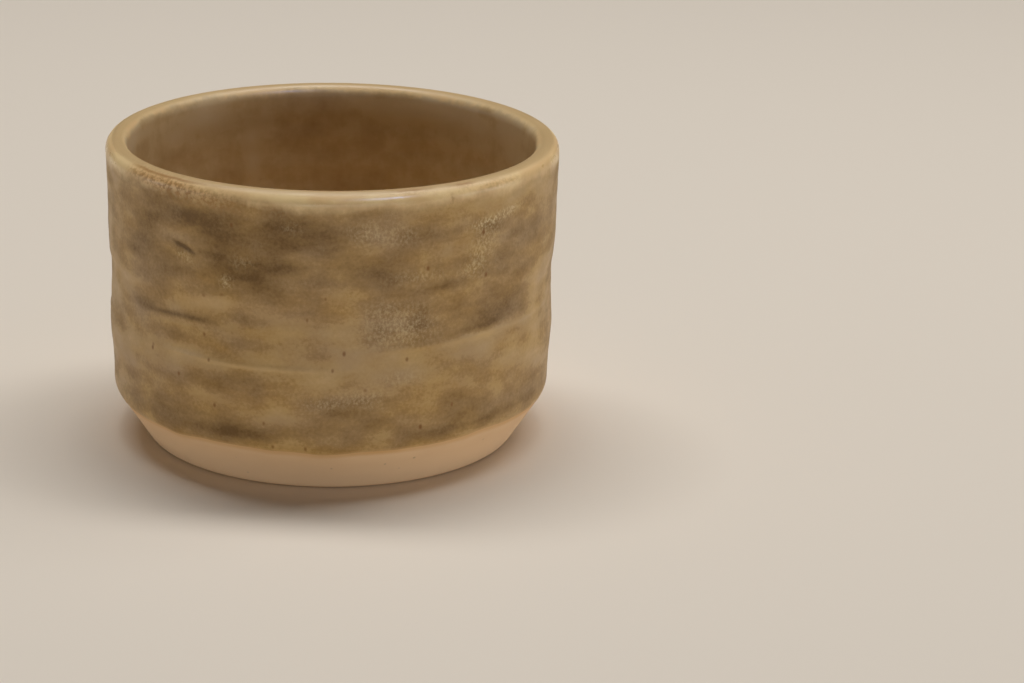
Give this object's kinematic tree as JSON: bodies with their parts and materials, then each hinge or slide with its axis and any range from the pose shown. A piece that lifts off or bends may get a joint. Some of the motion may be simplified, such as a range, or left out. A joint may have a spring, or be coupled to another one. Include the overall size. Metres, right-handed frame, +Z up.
{
  "type": "espresso cup",
  "caption": "Wheel-thrown stoneware espresso cup without a handle: a straight wall on a bevelled bare clay foot, with glaze inside and out.",
  "frame": {"origin": "centre of the foot, on the surface that the cup stands on", "axes": "+Z up along the axis that the cup was turned about; -Y is the side that faces the camera in the picture"},
  "size_m": [0.0598, 0.0598, 0.0404],
  "materials": {
    "bare_clay": "matte unglazed buff stoneware",
    "outer_glaze": "satin mottled ash glaze",
    "liner_glaze": "satin brown liner glaze"
  },
  "bodies": {
    "root": {"clay_body": "bare_clay", "outer_glaze": "outer_glaze", "liner_glaze": "liner_glaze"}
  },
  "joints": []
}
